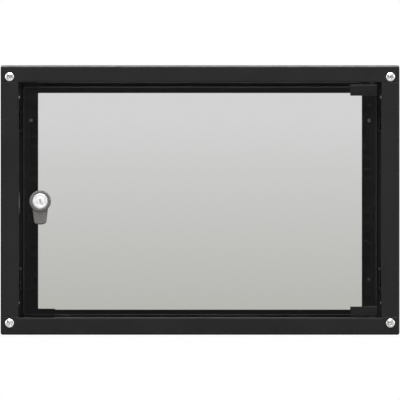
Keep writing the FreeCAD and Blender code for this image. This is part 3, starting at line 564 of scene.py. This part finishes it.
def cut_from(piece, cutter):
    """Piece with the cutter's shape removed, as a plain mesh; the cutter is deleted."""
    knife = piece.modifiers.new("cut", "BOOLEAN")
    knife.object, knife.operation, knife.solver = cutter, "DIFFERENCE", "EXACT"
    result = plain_copy(piece, piece.name)
    bpy.data.objects.remove(cutter)
    bpy.data.objects.remove(piece)
    return result


def plain_copy(piece, name, sharp=35):
    """New object holding the evaluated mesh, without modifiers."""
    graph = bpy.context.evaluated_depsgraph_get()
    mesh = bpy.data.meshes.new_from_object(piece.evaluated_get(graph))
    mesh.set_sharp_from_angle(angle=math.radians(sharp))
    fresh = bpy.data.objects.new(name, mesh)
    bpy.context.collection.objects.link(fresh)
    return fresh


SHOULDER = 0.86    # radius where the crown of a head meets its rounded rim


def screw_pattern(name, rise, shank, length, pitch):
    """Screw with a head of radius 1, its seat at height 0."""
    rim = [(1.0, 0.0)] + rounded((SHOULDER, rise * 0.42), 0.14, 0, 60, 3)
    crown = [(SHOULDER * math.cos(a) ** 0.8, rise * 0.55 + rise * 0.45 * math.sin(a))
             for a in (math.radians(22.5 * k) for k in range(1, 4))]
    rows, ripple = thread(shank, -0.02, -length, pitch)
    point = -length - shank * 0.3
    profile = [(0, rise)] + crown[::-1] + rim[::-1] + rows + [(shank * 0.7, point), (0, point)]
    screw = mesh_piece(name, *spun(profile, 40, ripple))
    return cut_from(screw, cross_cutter(0.62, 0.15, rise * 1.02, rise * 0.7))


pan_screw = screw_pattern("pan_screw", 0.55, 0.48, 1.6, 0.16)
print("screw faces", len(pan_screw.data.polygons))

# %% [markdown]
# ## Fasteners by Geometry Nodes
# Everything that repeats is placed by one node tree. It puts a copy of a pattern on each point, turns it
# along the point's own direction, gives it a random twist with a fixed seed, as a fitter's driver would,
# and ends in real geometry with its finish. The result is turned into a plain mesh that rides on its body.

# %% Tree: fasteners on points
tree = bpy.data.node_groups.new("Fasteners on points", "GeometryNodeTree")
sockets = {}
for label, kind in (("Points", "NodeSocketGeometry"), ("Pattern", "NodeSocketObject"), ("Size", FLOAT),
                    ("Twist", FLOAT), ("Seed", "NodeSocketInt"), ("Finish", "NodeSocketMaterial")):
    sockets[label] = tree.interface.new_socket(name=label, in_out="INPUT", socket_type=kind).identifier
tree.interface.new_socket(name="Fasteners", in_out="OUTPUT", socket_type="NodeSocketGeometry")
entry, exit_ = tree.nodes.new("NodeGroupInput"), tree.nodes.new("NodeGroupOutput")
copy = add(tree, "GeometryNodeObjectInfo", [("Object", entry.outputs["Pattern"])])
out = add(tree, "GeometryNodeInputNamedAttribute", [("Name", "out")], data_type="FLOAT_VECTOR")
aim = add(tree, "FunctionNodeAlignRotationToVector", [("Vector", out.outputs["Attribute"])], axis="Z")
low = times(tree, entry.outputs["Twist"], -1.0)
chance = add(tree, "FunctionNodeRandomValue", [(2, low.outputs[0]), (3, entry.outputs["Twist"]),
                                               ("Seed", entry.outputs["Seed"])], data_type="FLOAT")
spin = add(tree, "ShaderNodeCombineXYZ", [("Z", chance.outputs[1])])
twist = add(tree, "FunctionNodeEulerToRotation", [("Euler", spin.outputs[0])])
turned = add(tree, "FunctionNodeRotateRotation", [("Rotation", aim.outputs[0]),
                                                  ("Rotate By", twist.outputs[0])], rotation_space="LOCAL")
set_ = add(tree, "GeometryNodeInstanceOnPoints", [("Points", entry.outputs["Points"]),
                                                  ("Instance", copy.outputs["Geometry"]),
                                                  ("Rotation", turned.outputs[0]),
                                                  ("Scale", entry.outputs["Size"])])
real = add(tree, "GeometryNodeRealizeInstances", [("Geometry", set_.outputs[0])])
finished = add(tree, "GeometryNodeSetMaterial", [("Geometry", real.outputs[0]),
                                                 ("Material", entry.outputs["Finish"])])
tree.links.new(finished.outputs[0], exit_.inputs["Fasteners"])
fastener_tree = tree


def fasten(name, places, pattern, size, finish, twist=0.0, seed=1):
    """Copies of a pattern on (point, direction) places, as one plain mesh."""
    mesh = bpy.data.meshes.new(name + "_points")
    mesh.from_pydata([tuple(point) for point, direction in places], [], [])
    mesh.attributes.new("out", "FLOAT_VECTOR", "POINT").data.foreach_set(
        "vector", [v for point, direction in places for v in direction])
    holder = bpy.data.objects.new(name + "_points", mesh)
    bpy.context.collection.objects.link(holder)
    modifier = holder.modifiers.new("fasteners", "NODES")
    modifier.node_group = fastener_tree
    for label, value in (("Pattern", pattern), ("Size", size), ("Twist", twist), ("Seed", seed),
                         ("Finish", finish)):
        modifier[sockets[label]] = value
    result = plain_copy(holder, name)
    bpy.data.objects.remove(holder)
    return result


def stands_for(piece, node):
    """Lets a piece replace a construction node, on its body and in its slot."""
    if not piece.data.materials:
        piece.data.materials.append(FINISH[slots[node]])
    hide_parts(node)
    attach(piece, rides_on[node])
    print(piece.name, "replaces", node, "faces", len(piece.data.polygons))


print("tree inputs", list(sockets))

# %% [markdown]
# ## The frame's screws and rivets
# Four big screws hold the front frame's corners. Their places are read from the construction model: the
# heads touch the corners of its box. The rivets in the opening are spun domes.

# %% Corner screws and rivets
def around(node, radius):
    """The four corner places of a node's box, a head radius in from its sides."""
    low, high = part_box(node)
    return [(x, z) for x in (low.x + radius, high.x - radius) for z in (low.z + radius, high.z - radius)]


low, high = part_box("front_frame_screws")
head = 6.2 * MM
face = low.y + head * 0.55
big = fasten("corner_screws", [((x, face, z), -Y) for x, z in around("front_frame_screws", head)],
             pan_screw, head, FINISH["bright_screw"], twist=0.5, seed=4)
stands_for(big, "front_frame_screws")

dome = [(0, 0.75)] + [(math.sin(a), 0.12 + 0.63 * math.cos(a))
                      for a in (math.radians(15 * k) for k in range(1, 7))]
rivet = mesh_piece("rivet", *spun(dome + [(1.0, 0.0), (0.55, 0.0), (0.55, -1.5), (0, -1.5)], 32))
low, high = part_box("stile_rivets")
middle = (low.y + high.y) / 2
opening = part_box("front_left_stile")[1].x
inset = 2.7 * MM
heads = [((-side * opening, middle, z), -X * side) for side in (-1, 1)
         for z in (low.z + inset, high.z - inset)]
rivet_radius = 2.1 * MM
rivets = fasten("opening_rivets", heads, rivet, rivet_radius, FINISH["rivet_zinc"])
stands_for(rivets, "stile_rivets")

# %% [markdown]
# ## Hidden fasteners
# Side panels, clamps, the stop and the rails use the same screw in other sizes. Nuts are hexagons whose
# corners are turned off at thirty degrees, which leaves the curved corner that every real nut has.

# %% Nuts
def nut_pattern(name, bore):
    """Hexagon nut, 1 across its half flats and 1 tall, chamfered on both faces."""
    rounds = 72
    verts, faces = [], []
    for step in range(rounds):
        turn = 2 * math.pi * step / rounds
        edge = 1 / math.cos((turn + math.pi / 6) % (math.pi / 3) - math.pi / 6)
        drop = max(0.0, edge - 0.97) * 0.577
        c, s = math.cos(turn), math.sin(turn)
        for radius, height in ((bore, 0.06), (bore + 0.06, 0), (0.95, 0), (edge, drop),
                               (edge, 1 - drop), (0.95, 1), (bore + 0.06, 1), (bore, 0.94)):
            verts.append((radius * c, radius * s, height))
    for step in range(rounds):
        ahead = (step + 1) % rounds
        for row in range(8):
            after = (row + 1) % 8
            faces.append([step * 8 + row, step * 8 + after, ahead * 8 + after, ahead * 8 + row])
    return mesh_piece(name, verts, faces, 25)


low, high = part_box("side_panel_screws")
r = 4.2 * MM
flat_screw = screw_pattern("flat_screw", 0.31, 0.46, 1.2, 0.16)
panel_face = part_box("right_side_panel")[1].x
seats = [((side * panel_face, (low.y + high.y) / 2, z), X * side) for side in (-1, 1)
         for z in (low.z + r, high.z - r)]
stands_for(fasten("panel_screws", seats, flat_screw, r, FINISH["zinc"], twist=3.0, seed=2),
           "side_panel_screws")

for end in ("upper", "lower"):
    low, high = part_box(end + "_clamp_screws")
    r = (high.z - low.z) / 2
    seats = [((x, high.y - r * 0.55, (low.z + high.z) / 2), Y) for x in (low.x + r, high.x - r)]
    short_screw = screw_pattern("short_screw", 0.55, 0.5, 0.65, 0.16)
    stands_for(fasten(end + "_pinch_screws", seats, short_screw, r, FINISH["zinc"], twist=3.0, seed=5),
               end + "_clamp_screws")
    bpy.data.objects.remove(short_screw)

nut_half, nut_corner = 5.0 * MM, 5.77 * MM     # across half the flats and half the corners
for hand, inward in (("left", X), ("right", -X)):
    low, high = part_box(hand + "_rail_bolts")
    r = (high.y - low.y) / 2
    tip = low.x if hand == "left" else high.x
    bolt = screw_pattern("bolt", 0.56, 0.53, 2.8, 0.18)
    seats = [((tip + inward.x * r * 0.56, (low.y + high.y) / 2, z), -inward)
             for z in (low.z + r, high.z - r)]
    stands_for(fasten(hand + "_bolts", seats, bolt, r, FINISH["bolt_zinc"], twist=3.0, seed=7),
               hand + "_rail_bolts")
    low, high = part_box(hand + "_rail_nuts")
    nut = nut_pattern("nut", 0.6)
    base = high.x if hand == "right" else low.x
    seats = [((base, (low.y + high.y) / 2, z), inward) for z in (low.z + nut_corner, high.z - nut_corner)]
    stands_for(fasten(hand + "_nuts", seats, nut, nut_half, FINISH["zinc"], twist=0.4, seed=8),
               hand + "_rail_nuts")
    bpy.data.objects.remove(bolt)
    bpy.data.objects.remove(nut)

low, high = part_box("door_stop_screw")
r = (high.x - low.x) / 2
seats = [(((low.x + high.x) / 2, (low.y + high.y) / 2, high.z - r * 0.55), Z)]
stop_screw = fasten("stop_screw", seats, pan_screw, r, FINISH["zinc"], twist=1.0, seed=3)
stands_for(stop_screw, "door_stop_screw")
for spare in (rivet, flat_screw, pan_screw):
    bpy.data.objects.remove(spare)

# %% [markdown]
# ## The lock
# The lock is the piece that a hand touches. Its grey pull is a moulded ring with a tapered tail, so it gets
# real rounded edges from a Bevel modifier. Its bright face is a turned housing with a rounded rim, round a
# plug with a keyway. Behind the glass the housing is threaded and carries a nut.

# %% Finger pull
def soft_edged(node, name, width, sharp=30, segments=3):
    """Merged copy of a construction node with rounded edges."""
    source = frame["nodes"][node]
    copy = bpy.data.objects.new(name + "_raw", source.data.copy())
    bpy.context.collection.objects.link(copy)
    work = bmesh.new()
    work.from_mesh(copy.data)
    bmesh.ops.remove_doubles(work, verts=work.verts, dist=2e-6)
    bmesh.ops.dissolve_limit(work, angle_limit=math.radians(1.0), verts=work.verts, edges=work.edges)
    work.to_mesh(copy.data)
    work.free()
    copy.data.polygons.foreach_set("use_smooth", [True] * len(copy.data.polygons))
    bevel = copy.modifiers.new("round", "BEVEL")
    bevel.width, bevel.segments, bevel.limit_method = width, segments, "ANGLE"
    bevel.angle_limit = math.radians(sharp)
    result = plain_copy(copy, name, 50)
    bpy.data.objects.remove(copy)
    return result


pull = soft_edged("lock_grip", "finger_pull", 0.5 * MM)
stands_for(pull, "lock_grip")

# %% Lock housing, plug and nut
low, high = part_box("lock_barrel")
centre = Vector(((low.x + high.x) / 2, 0, (low.z + high.z) / 2))
rim, body_radius, bore = (high.x - low.x) / 2, 9.0 * MM, 6.05 * MM
seat = low.y + 2.3 * MM
end = -(high.y - seat)
rows, ripple = thread(body_radius, -1.0 * MM, end, 1.0 * MM)


def outside_only(radius, height, turn):
    """Ripple for the threaded outside of the barrel; its bore stays smooth."""
    return ripple(radius, height, turn) if radius > 8.9 * MM and height < 0 else radius


profile = [(bore, end), (bore, 2.1 * MM)] + rounded((bore + 0.25 * MM, 2.05 * MM), 0.25 * MM, 180, 90, 3)
profile += rounded((rim - 0.9 * MM, 1.4 * MM), 0.9 * MM, 90, 0, 6) + [(rim, 0), (body_radius, 0)]
profile += rows + [(body_radius - 0.6 * MM, end), (bore, end)]
housing = mesh_piece("lock_housing", *spun(profile, 80, outside_only))
settle(housing, Vector((centre.x, seat, centre.z)), -Y)
stands_for(housing, "lock_barrel")

low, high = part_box("lock_plug")
r = 6.0 * MM
depth = 13.0 * MM
profile = [(0, 0)] + rounded((r - 0.4 * MM, -0.4 * MM), 0.4 * MM, 90, 0, 4) + [(r, -depth), (0, -depth)]
plug = mesh_piece("key_plug", *spun(profile, 64))
plan = [(-0.8, -3.7), (0.8, -3.7), (0.8, 1.0), (0.35, 1.0), (0.35, 3.7), (-0.8, 3.7)]    # in millimetres
slot_box = [(x * MM, y * MM, z) for z in (0.2 * MM, -8 * MM) for x, y in plan]
slot_faces = [list(range(6)), list(range(6, 12))]
slot_faces += [[i, (i + 1) % 6, (i + 1) % 6 + 6, i + 6] for i in range(6)]
plug = cut_from(plug, mesh_piece("keyway", slot_box, slot_faces))
settle(plug, Vector((centre.x, low.y, centre.z)), -Y)
drive = soft_edged("lock_plug", "plug_drive", 0.15 * MM)
keep = bmesh.new()
keep.from_mesh(drive.data)
cut = bmesh.ops.bisect_plane(keep, geom=keep.verts[:] + keep.edges[:] + keep.faces[:],
                             plane_co=(0, low.y + depth - 1.0 * MM, 0), plane_no=(0, -1, 0),
                             clear_outer=True)
bmesh.ops.edgeloop_fill(keep, edges=[e for e in cut["geom_cut"] if isinstance(e, bmesh.types.BMEdge)])
bmesh.ops.recalc_face_normals(keep, faces=keep.faces)
keep.to_mesh(drive.data)
keep.free()
drive.data.materials.clear()
drive.data.materials.append(FINISH["lock_chrome"])
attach(drive, rides_on["lock_plug"])
stands_for(plug, "lock_plug")

low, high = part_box("lock_nut")
nut = nut_pattern("housing_nut", 9.0 / 12.0)
nut.data.transform(Matrix.Diagonal((12 * MM, 12 * MM, high.y - low.y, 1)))
settle(nut, Vector((centre.x, low.y, centre.z)), Y)
stands_for(nut, "lock_nut")

low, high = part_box("cam_screw")
r = (high.x - low.x) / 2
short = screw_pattern("short", 0.46, 0.38, 1.4, 0.14)
holder = fasten("cam_fixing", [((centre.x, high.y - r * 0.46, centre.z), Y)], short, r, FINISH["zinc"],
                twist=1.0, seed=6)
bpy.data.objects.remove(short)
stands_for(holder, "cam_screw")

# %% [markdown]
# ## Clamps and earth stud
# The hinge clamps are castings, so their edges are visibly round. The earth stud is a blackened threaded bar
# with a nut, welded to the bottom sheet.

# %% Castings and stud
for end in ("upper", "lower"):
    stands_for(soft_edged(end + "_hinge_clamp", end + "_clamp_casting", 0.45 * MM), end + "_hinge_clamp")

low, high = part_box("earth_stud")
r = (high.x - low.x) / 2
rows, ripple = thread(r, high.z - low.z - 0.4 * MM, 1.4 * MM, 0.8 * MM, 6)
profile = [(0, high.z - low.z), (r - 0.5 * MM, high.z - low.z)] + rows + [(r, 0), (0, 0)]
stud = mesh_piece("threaded_stud", *spun(profile, 32, ripple))
settle(stud, Vector(((low.x + high.x) / 2, (low.y + high.y) / 2, low.z)), Z)
stud.data.materials.append(FINISH["pin_steel"])
stands_for(stud, "earth_stud")
low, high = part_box("earth_nut")
nut = nut_pattern("stud_nut", 0.6)
nut.data.transform(Matrix.Diagonal((5 * MM, 5 * MM, high.z - low.z, 1)))
settle(nut, Vector(((low.x + high.x) / 2, (low.y + high.y) / 2, low.z)), Z)
nut.data.materials.append(FINISH["pin_steel"])
stands_for(nut, "earth_nut")

# %% [markdown]
# ## The studio
# The cabinet is shown square on from far away. Two soft boxes high in front, one to each side and one
# overhead light it plainly. A narrow lamp behind the lens reaches into the gaps beside the door; neither
# mirrors nor glass see it, so it leaves no glint. The world is a dim even grey to what it lights. Mirrors see
# a white tent with a dark mouth round the lens. The camera sees plain white, also straight through glass, so
# the background is white without more light on the object. The floor is mid grey to what it lights, and
# nearly white to the camera.

# %% World
AMBIENT = (0.35, 0.35, 0.35, 1)
TENT_DARK = 0.12           # how light the tent is round the lens
TENT_EDGE = (0.55, 0.90)   # cosines, from the white tent to its dark mouth


def through_glass(tree, path):
    """1 for a camera ray that has passed through glass and bounced off nothing, else 0."""
    bounced = add(tree, "ShaderNodeMath", [(0, path.outputs["Diffuse Depth"]),
                                           (1, path.outputs["Glossy Depth"])], operation="ADD")
    direct = add(tree, "ShaderNodeMath", [(0, bounced.outputs[0]), (1, 0.5)], operation="LESS_THAN")
    return times(tree, direct.outputs[0], path.outputs["Is Transmission Ray"])


world = bpy.data.worlds.new("Studio")
bpy.context.scene.world = world
world.use_nodes = True
tree = world.node_tree
tree.nodes.clear()
path = add(tree, "ShaderNodeLightPath")
ambient = add(tree, "ShaderNodeBackground", [("Color", AMBIENT), ("Strength", 1.0)])
white = add(tree, "ShaderNodeBackground", [("Color", (1, 1, 1, 1)), ("Strength", 1.0)])
heading = add(tree, "ShaderNodeTexCoord")
ahead = add(tree, "ShaderNodeVectorMath", [(0, heading.outputs["Generated"]), (1, (0, -1, 0))],
            operation="DOT_PRODUCT")
tent = ramp(tree, ahead.outputs["Value"], TENT_EDGE[0], TENT_EDGE[1], 1.0, TENT_DARK)
mirrored = add(tree, "ShaderNodeBackground", [("Color", tent.outputs["Result"]), ("Strength", 1.0)])
straight = through_glass(tree, path)
lit = add(tree, "ShaderNodeMixShader", [(0, path.outputs["Is Glossy Ray"]), (1, ambient.outputs[0]),
                                        (2, mirrored.outputs[0])])
seen = add(tree, "ShaderNodeMixShader", [(0, straight.outputs[0]), (1, lit.outputs[0]),
                                         (2, white.outputs[0])])
shown = add(tree, "ShaderNodeMixShader", [(0, path.outputs["Is Camera Ray"]), (1, seen.outputs[0]),
                                          (2, white.outputs[0])])
add(tree, "ShaderNodeOutputWorld", [("Surface", shown.outputs[0])])
print("world nodes", len(tree.nodes))

# %% Floor
FLOOR_TONES = (0.48, 0.52)    # darkest and lightest grey of its mottle
FLOOR_WHITE = 0.955           # how white it is to the camera
FLOOR_RADIUS = 1.6
FLOOR_MIDDLE = -0.22          # under the middle of the cabinet's depth
floor_level = cabinet_box[0].z - 0.5 * MM
verts, faces = spun([(0, 0), (FLOOR_RADIUS, 0)], 64)
floor = mesh_piece("studio_floor", verts, faces)
floor.data.transform(Matrix.Translation((0, FLOOR_MIDDLE, floor_level)))
finish, tree, shader = new_finish("Pale floor")
path = add(tree, "ShaderNodeLightPath")
spot = add(tree, "ShaderNodeTexCoord")
mottle = noise(tree, spot.outputs["Object"], 6.0)
tint = ramp(tree, mottle.outputs["Fac"], 0.0, 1.0, FLOOR_TONES[0], FLOOR_TONES[1])
tree.links.new(tint.outputs["Result"], shader.inputs["Base Color"])
shader.inputs["Roughness"].default_value = 0.9
glow = add(tree, "ShaderNodeEmission", [("Color", (1, 1, 1, 1)), ("Strength", 1.0)])
straight = through_glass(tree, path)
looked = add(tree, "ShaderNodeMath", [(0, straight.outputs[0]), (1, path.outputs["Is Camera Ray"])],
             operation="ADD")
share = times(tree, looked.outputs[0], FLOOR_WHITE)
blend = add(tree, "ShaderNodeMixShader", [(0, share.outputs[0]), (1, shader.outputs[0]),
                                          (2, glow.outputs[0])])
tree.links.new(blend.outputs[0], tree.nodes["Material Output"].inputs["Surface"])
floor.data.materials.append(finish)
print("floor at", round(floor_level, 4))

# %% Lights
def soft_box(name, place_, wide, tall, watts, target=(0, -0.45, 0)):
    """Rectangular lamp aimed at a point."""
    lamp = bpy.data.lights.new(name, "AREA")
    lamp.shape, lamp.size, lamp.size_y, lamp.energy = "RECTANGLE", wide, tall, watts
    holder = bpy.data.objects.new(name, lamp)
    holder.location = place_
    holder.rotation_euler = (Vector(target) - Vector(place_)).to_track_quat("-Z", "Y").to_euler()
    bpy.context.collection.objects.link(holder)
    return holder


fill = soft_box("eye_box", (0.0, -10.75, 0.0), 0.12, 0.7, 400.0)
fill.visible_glossy = False
fill.visible_transmission = False
soft_box("near_box", (0.0, -4.6, 1.7), 1.6, 0.6, 28.0)
soft_box("front_box", (0.0, -1.8, 1.75), 2.0, 0.8, 18.0)
soft_box("left_box", (-2.1, -1.6, 0.6), 0.9, 1.4, 8.0)
soft_box("right_box", (2.1, -1.6, 0.6), 0.9, 1.4, 8.0)
soft_box("top_box", (0.0, -1.4, 1.8), 1.8, 0.9, 50.0)

# %% Camera
FOCAL = 650.6         # a long lens, in millimetres
CAMERA_Y = -10.45     # ten metres in front of the frame's face
lens = bpy.data.cameras.new("square_on")
lens.lens = FOCAL
lens.sensor_width = 36.0
lens.clip_end = 100.0
camera = bpy.data.objects.new("square_on", lens)
camera.location = (0.0, CAMERA_Y, 0.0)
camera.rotation_euler = (math.pi / 2, 0, 0)
bpy.context.collection.objects.link(camera)
bpy.context.scene.camera = camera
bpy.context.scene.view_settings.view_transform = "Standard"
